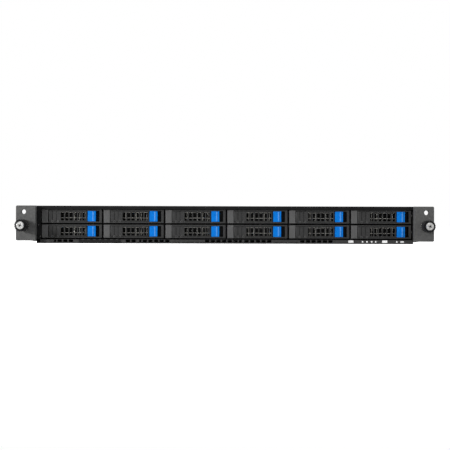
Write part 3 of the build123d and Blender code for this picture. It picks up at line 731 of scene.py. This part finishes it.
class SERVER_OT_trays(bpy.types.Operator):
    """Moulded bezels with smooth end plates painted lighter as light on an angled face, pockets and lever
    slots painted black as shade, levers with lenses in rims painted pale as highlights, blue latches with
    ribs painted lighter as highlights, and the grid behind
    """

    bl_idname = "server.trays"
    bl_label = "Drive trays"

    def execute(self, context):
        s = sizes()
        carrier_overhang = 0.425
        bezel_depth = 10.2
        border = 1.3
        pocket_start, pocket_end = 7.1, 67.3
        lens_places, lens_height = (12.3, 18.6), 1.15
        rib_count, rib_step = 7, 1.55
        for bay in range(1, BAYS + 1):
            tray, lever, latch = (f"{kind}_{bay:02d}" for kind in ("tray", "lever", "latch"))
            low, high = edges(tray)
            left = low.x + carrier_overhang
            face = low.y

            def shaded_pocket(centre, normal):
                across = left + pocket_start < centre.x < left + pocket_end
                upright = low.z + border < centre.z < high.z - border
                return across and upright and face + 1 < centre.y < face + bezel_depth

            def behind_bezel(centre, normal):
                return centre.y > face + bezel_depth

            def on_carrier(centre, normal):
                sides = min(centre.x - low.x, high.x - centre.x)
                inset = min(sides, centre.z - low.z - 0.1, high.z - 0.1 - centre.z)
                return behind_bezel(centre, normal) and inset < 0.05

            dress(tray, "moulded_abs", s.moulded_edge)
            repaint(tray, "black_abs", behind_bezel)
            # The pocket's inner faces are painted black as the shade in the recess.
            repaint(tray, "black_abs", shaded_pocket)
            repaint(tray, "galvanised_steel", on_carrier)
            dress(lever, "moulded_abs", 0.12)
            # Every lever face behind the front is painted black, as shade in its slots and grooves.
            repaint(lever, "black_abs", lambda centre, normal: centre.y > face + 0.3)
            dress(latch, "blue_abs", 0.15)
            bm = bmesh.new()
            # A flat end plate, painted lighter as the light on an angled hinge end.
            block(bm, mm(left, face - 0.25, low.z), mm(left + s.end_plate, face + 0.4, high.z - 0.2))
            piece(f"end_plate_{bay:02d}", bm, tray, "abs_painted_light", 0.2)
            bm = bmesh.new()
            vent_grid(bm, left, face, low.z)
            piece(f"vent_grid_{bay:02d}", bm, tray, "zinc_sheet", 0.08)
            rims = bmesh.new()
            lenses = bmesh.new()
            foot = edges(lever)[0].z
            for step in lens_places:
                spot = mm(left + step, face, foot + lens_height)
                ring(rims, spot, (0, -1, 0), 0.75 * s.lens * MM, 0.5 * s.lens * MM, 0.3 * MM, 20)
                rod(lenses, spot, (0, -1, 0), 0.5 * s.lens * MM, 0.2 * MM, 20)
            # The rims are painted pale as highlights around the dark lenses.
            piece(f"lens_rims_{bay:02d}", rims, lever, "abs_painted_light", 0.0)
            piece(f"lenses_{bay:02d}", lenses, lever, "smoked_lens", 0.0)
            catch_low, catch_high = edges(latch)
            ridge = catch_low.x + 0.62 * (catch_high.x - catch_low.x)
            bm = bmesh.new()
            for rib in range(rib_count):
                height = catch_low.z + 0.9 + rib_step * rib
                block(
                    bm,
                    mm(ridge - 0.2, catch_low.y - 0.1, height),
                    mm(ridge + 1.3, catch_low.y + 0.3, height + 1.2),
                )
            # The ribs are painted lighter blue as a highlight.
            piece(f"latch_ribs_{bay:02d}", bm, latch, "blue_abs_painted_highlight", 0.1)
        return {"FINISHED"}


class SERVER_OT_strip(bpy.types.Operator):
    """Buttons, lamps, pressed panels and the pull-out tag in the bottom strip"""

    bl_idname = "server.strip"
    bl_label = "Bottom strip"

    def execute(self, context):
        strip = edges("chassis_base")[0].y
        rib_count, rib_step, rib_width = 7, 6.6, 3.0
        lamp_places = (160.0, 165.2, 170.6, 175.3, 199.8)
        louvre_spans = ((-62.0, -24.5), (56.5, 86.0))
        louvre_step = 5.4
        post_places = (-101.0, 20.8)
        dress("power_button", "white_abs", 0.2)
        dress("locate_button", "clear_lens", 0.2)
        dress("info_tag", "black_abs", 0.2)
        low, high = edges("info_tag")
        ribs = bmesh.new()
        for step in range(rib_count):
            x = low.x + 3.5 + rib_step * step
            block(ribs, mm(x, low.y - 0.1, high.z - 1.0), mm(x + rib_width, low.y + 0.4, high.z - 0.1))
        # The tag's ribs take the strip's powder coat, darkened as painted shade.
        piece("tag_ribs", ribs, "info_tag", "powder_coated_steel_painted_shade", 0.1)
        lamps = bmesh.new()
        for x in lamp_places:
            rod(lamps, mm(x, strip - 0.1, 2.6), (0, -1, 0), sizes().lamp / 2 * MM, 0.6 * MM, 20)
        block(lamps, mm(204.0, strip - 0.4, 1.9), mm(208.0, strip + 0.2, 3.3))
        piece("strip_lamps", lamps, "chassis", "clear_lens", 0.1)
        panels = bmesh.new()
        for start, end in louvre_spans:
            block(panels, mm(start, strip - 0.5, 1.3), mm(end, strip + 0.1, 2.2))
            teeth = round((end - start) / louvre_step)
            for step in range(teeth):
                x = start + (end - start) * (step + 0.5) / teeth
                rod(panels, mm(x, strip - 0.2, 2.6), (0, -1, 0), 1.5 * MM, 0.6 * MM, 12)
        for x in post_places:
            block(panels, mm(x - 1.2, strip - 0.5, 1.0), mm(x + 1.2, strip + 0.1, 4.4))
        block(panels, mm(-211.0, strip - 0.4, 1.6), mm(-198.6, strip + 0.1, 4.2))
        # The pressed panels take the strip's powder coat, darkened as painted shade.
        piece("strip_panels", panels, "chassis", "powder_coated_steel_painted_shade", 0.15)
        return {"FINISHED"}


def soldered_parts(tops):
    """Chips, sockets and capacitors on the main board, between its large parts."""
    # each chip and socket: place across, place along, width, length, height
    chip_sizes = (
        (-75, 150, 30, 30, 1.6), (-130, 210, 26, 26, 1.4), (-40, 215, 20, 20, 1.3),
        (-160, 260, 14, 20, 1.2), (20, 190, 16, 12, 1.2), (-95, 262, 12, 12, 1.2),
        (110, 120, 18, 18, 1.4), (-190, 150, 12, 16, 1.2), (170, 110, 14, 14, 1.2),
        (30, 250, 10, 14, 1.2), (-10, 280, 12, 8, 1.1), (-178, 305, 10, 12, 1.1),
    )
    socket_sizes = (
        (-200, 190, 6, 42, 9), (-190, 190, 6, 42, 9), (-110, 175, 40, 6, 10),
        (0, 150, 46, 7, 10), (-168, -80, 24, 8, 8), (-84, -80, 24, 8, 8),
        (0, -80, 24, 8, 8), (84, 60, 10, 30, 8), (150, 60, 10, 24, 8),
        (196, 80, 8, 30, 8), (-60, 250, 7, 60, 11),
    )
    regulator_starts = (-188.0, -106.0, -50.0, 32.0)
    regulator_count, regulator_step = 9, 4.6
    chips, cans, caps, plugs, metal = (bmesh.new() for _ in range(5))
    for bm, rows in ((chips, chip_sizes), (plugs, socket_sizes)):
        for x, y, wide, deep, high in rows:
            block(bm, mm(x - wide / 2, y - deep / 2, tops), mm(x + wide / 2, y + deep / 2, tops + high))
    for row in range(regulator_count):
        for start in regulator_starts:
            x = start + regulator_step * row
            rod(cans, mm(x, -60, tops + 3.5), (0, 0, 1), 2.0 * MM, 7 * MM, 12)
            block(chips, mm(x - 1.9, -48, tops), mm(x + 1.9, -41, tops + 4))
            rod(caps, mm(x, -60, tops + 7.05), (0, 0, 1), 1.9 * MM, 0.1 * MM, 12)
    rod(metal, mm(40, 220, tops + 3.2), (0, 0, 1), 10 * MM, 3.2 * MM, 32)
    ring(plugs, mm(40, 220, tops + 2.4), (0, 0, 1), 12 * MM, 10.2 * MM, 4.6 * MM, 32)
    piece("board_chips", chips, "chassis", "black_abs", 0.1)
    piece("board_capacitors", cans, "chassis", "black_oxide_steel", 0.2)
    piece("capacitor_tops", caps, "chassis", "milled_aluminium", 0.0)
    piece("board_sockets", plugs, "chassis", "white_abs", 0.2)
    piece("board_battery", metal, "chassis", "nickel_plate", 0.2)


class SERVER_OT_inside(bpy.types.Operator):
    """Boards, fans, coolers and memory"""

    bl_idname = "server.inside"
    bl_label = "Inside"

    def execute(self, context):
        board_top = 7.6
        port_depth = 16.0
        socket_reach = 6.3
        bank_middles = (-199.05, -89.85, -61.05, 48.15)
        bank_size, module_step = 4, 7.2
        module_chips, chip_step, chip_length = 9, 13.2, 9.5
        fan_count, fan_step = 5, 84
        wire_count, wire_step = 4, 2
        dress("main_board", "solder_mask")
        ports = edges("main_board")[1].y - port_depth

        def above_board(centre, normal):
            return centre.z > board_top + 0.1

        def in_shell(centre, normal):
            return above_board(centre, normal) and centre.y > ports

        def in_socket(centre, normal):
            near = min(abs(centre.x - x) for x in (USB_PORT, *NETWORK_PORTS)) < socket_reach
            return near and 8.4 < centre.z < 21.3 and ports < centre.y < ports + 15.9

        repaint("main_board", "black_abs", above_board)
        repaint("main_board", "nickel_plate", in_shell)
        # The black inside the sockets is partly their black plastic and partly painted shade in the
        # openings.
        repaint("main_board", "black_abs", in_socket)
        for name in ("drive_backplane", "control_board", "memory_modules"):
            dress(name, "solder_mask")
        rear = edges("drive_backplane")[1].y - 1.7
        repaint("drive_backplane", "black_abs", lambda centre, normal: centre.y < rear)
        soldered_parts(board_top)
        dress("processor_coolers", "milled_aluminium")
        low, high = edges("processor_coolers")
        screws = bmesh.new()
        for x in (low.x + 5, low.x + 73, high.x - 73, high.x - 5):
            for y in (low.y + 5, high.y - 5):
                rod(screws, mm(x, y, high.z + 0.6), (0, 0, 1), 2.6 * MM, 1.2 * MM, 16)
        piece("cooler_screws", screws, "chassis", "nickel_plate", 0.2)
        low, high = edges("memory_modules")
        chips, ends = bmesh.new(), bmesh.new()
        for middle in bank_middles:
            for module in range(bank_size):
                x = middle + module_step * (module - (bank_size - 1) / 2)
                for chip in range(module_chips):
                    y = low.y + 8 + chip_step * chip
                    block(chips, mm(x - 1.7, y, 20.0), mm(x + 1.7, y + chip_length, 34.0))
                for y in (low.y - 3.6, high.y + 0.4):
                    block(ends, mm(x - 2.2, y, 12.0), mm(x + 2.2, y + 3.2, 24.0))
        piece("memory_chips", chips, "chassis", "black_abs", 0.0)
        piece("memory_latches", ends, "chassis", "white_abs", 0.3)
        dress("fan_frames", "black_abs")
        low, high = edges("fan_frames")
        corners, wires = bmesh.new(), bmesh.new()
        for number in range(1, fan_count + 1):
            rotor = f"fan_rotor_{number}"
            middle = fan_step * (number - (fan_count + 1) / 2)
            dress(rotor, "black_abs")
            fan_low, fan_high = edges(rotor)
            axis = (fan_low + fan_high) / 2
            hub = bmesh.new()
            ring(hub, mm(axis.x, low.y + 0.85, 21.2), (0, -1, 0), 8.4 * MM, 3.4 * MM, 0.3 * MM, 32)
            piece(f"{rotor}_cap", hub, rotor, "milled_aluminium", 0.0)
            for x in (-16.5, 16.5):
                for z in (4.7, 37.7):
                    rod(corners, mm(middle + x, low.y - 0.2, z), (0, -1, 0), 2 * MM, 0.6 * MM, 12)
            for step in range(wire_count):
                x = middle + 8 + wire_step * step
                rod(wires, mm(x, high.y + 9, 6.0), (0, 1, 0), 0.7 * MM, 18 * MM, 8)
        piece("fan_screws", corners, "chassis", "zinc_sheet", 0.0)
        piece("fan_wires", wires, "chassis", "black_abs", 0.0)
        return {"FINISHED"}


class SERVER_OT_back(bpy.types.Operator):
    """Power supplies with guard rings and inlets, slot covers, black patches as painted shade for vents
    and slot gaps, and port contacts
    """

    bl_idname = "server.back"
    bl_label = "Back"

    def execute(self, context):
        back = edges("chassis_base")[1].y
        inlet_shift, inlet_rise = 20.0, 12.75
        blade_shifts = (-7, 0, 7)
        guard_radii, guard_wire = (8.5, 12.0, 15.5), 0.8
        cover_gaps, gap_step, gap_width = 9, 7.6, 4.6
        vent_rows, vent_columns, vent_step = 5, 17, 5.2
        contact_count, contact_step = 8, 1.02
        for number in (1, 2):
            supply = f"power_supply_{number}"
            low, high = edges(supply)
            middle = (low.x + high.x) / 2
            inlet = Vector((middle + inlet_shift, 0, low.z + inlet_rise))

            def in_inlet(centre, normal):
                inside = abs(centre.x - inlet.x) < 12.4 and abs(centre.z - inlet.z) < 8.4
                return inside and back - 15.2 < centre.y < back - 0.1

            def on_blade(centre, normal):
                near = min(abs(centre.x - inlet.x - shift) for shift in blade_shifts) < 1.2
                upright = abs(centre.z - inlet.z) < 5.2
                return near and upright and centre.y > back - 14.9 and in_inlet(centre, normal)

            dress(supply, "galvanised_steel")
            repaint(supply, "black_abs", in_inlet)
            repaint(supply, "nickel_plate", on_blade)
            repaint(supply, "black_painted_steel", lambda centre, normal: centre.y > back + 0.1)
            dress(f"supply_latch_{number}", "blue_abs", 0.2)
            guard = bmesh.new()
            hole = mm(middle - 16.25, back + 0.3, (low.z + high.z) / 2)
            for radius in guard_radii:
                ring(guard, hole, (0, 1, 0), radius * MM, (radius - guard_wire) * MM, 0.6 * MM, 40)
            piece(f"{supply}_guard", guard, supply, "nickel_plate", 0.0)
            lamp = bmesh.new()
            rod(lamp, mm(middle + 31, back + 0.2, high.z - 5), (0, 1, 0), 1.4 * MM, 0.6 * MM, 20)
            piece(f"{supply}_lamp", lamp, supply, "clear_lens", 0.1)
        covers, gaps, holes, screws = (bmesh.new() for _ in range(4))
        block(covers, mm(-212, back, 23.5), mm(-136, back + 0.8, 37.5))
        for step in range(cover_gaps):
            x = -206 + gap_step * step
            block(gaps, mm(x, back + 0.5, 26.5), mm(x + gap_width, back + 0.9, 34.5))
        for row in range(vent_rows):
            for step in range(vent_columns):
                x = -27 + vent_step * step + (vent_step / 2 if row % 2 else 0)
                rod(holes, mm(x, back + 0.05, 13 + vent_step * row), (0, 1, 0), 1.9 * MM, 0.2 * MM, 6)
        screw_places = ((-207, 10), (-140, 10), (64, 38), (-30, 38))
        spots = [(across, back + 0.3, height) for across, height in screw_places]
        screw_heads(screws, spots, (0, 1, 0), sizes().screw / 2, 0.6)
        piece("slot_cover", covers, "chassis", "zinc_sheet", 0.15)
        # The slot gaps and vents are black patches on the surface, painted shade where openings would be.
        piece("slot_cover_gap_shade", gaps, "chassis", "black_abs", 0.0)
        piece("rear_vent_shade", holes, "chassis", "black_abs", 0.0)
        piece("rear_screws", screws, "chassis", "nickel_plate", 0.1)
        tongues, contacts = bmesh.new(), bmesh.new()
        for height in (11.3, 19.3):
            block(
                tongues,
                mm(USB_PORT - 5.5, back - 12, height),
                mm(USB_PORT + 5.5, back - 0.6, height + 1.6),
            )
        for x in NETWORK_PORTS:
            for pin in range(contact_count):
                at = x - 3.6 + contact_step * pin
                block(contacts, mm(at - 0.2, back - 11, 17.6), mm(at + 0.2, back - 1.5, 18.2))
        block(tongues, mm(VIDEO_PORT - 11, back + 0.5, 9.6), mm(VIDEO_PORT + 11, back + 0.9, 17.4))
        piece("port_tongues", tongues, "chassis", "black_abs", 0.0)
        piece("port_contacts", contacts, "chassis", "gold_plate", 0.0)
        return {"FINISHED"}


class SERVER_PT_panel(bpy.types.Panel):
    """Lists the steps that dress the server"""

    bl_idname = "SERVER_PT_panel"
    bl_label = "Rack server"
    bl_space_type = "VIEW_3D"
    bl_region_type = "UI"
    bl_category = "Server"

    def draw(self, context):
        for step in STEPS:
            self.layout.operator(step.bl_idname)


STEPS = (
    SERVER_OT_stage,
    SERVER_OT_finishes,
    SERVER_OT_case,
    SERVER_OT_ears,
    SERVER_OT_thumbscrews,
    SERVER_OT_trays,
    SERVER_OT_strip,
    SERVER_OT_inside,
    SERVER_OT_back,
)
CLASSES = (ServerColours, ServerSizes, ServerStudio, *STEPS, SERVER_PT_panel)


def register():
    for kind in CLASSES:
        bpy.utils.register_class(kind)
    bpy.types.Scene.server_colours = PointerProperty(type=ServerColours)
    bpy.types.Scene.server_sizes = PointerProperty(type=ServerSizes)
    bpy.types.Scene.server_studio = PointerProperty(type=ServerStudio)


def unregister():
    del bpy.types.Scene.server_colours
    del bpy.types.Scene.server_sizes
    del bpy.types.Scene.server_studio
    for kind in reversed(CLASSES):
        bpy.utils.unregister_class(kind)


def main():
    register()
    bpy.ops.server.stage()
    bpy.ops.server.finishes()
    bpy.ops.server.case()
    bpy.ops.server.ears()
    bpy.ops.server.thumbscrews()
    bpy.ops.server.trays()
    bpy.ops.server.strip()
    bpy.ops.server.inside()
    bpy.ops.server.back()


if __name__ == "__main__":
    main()
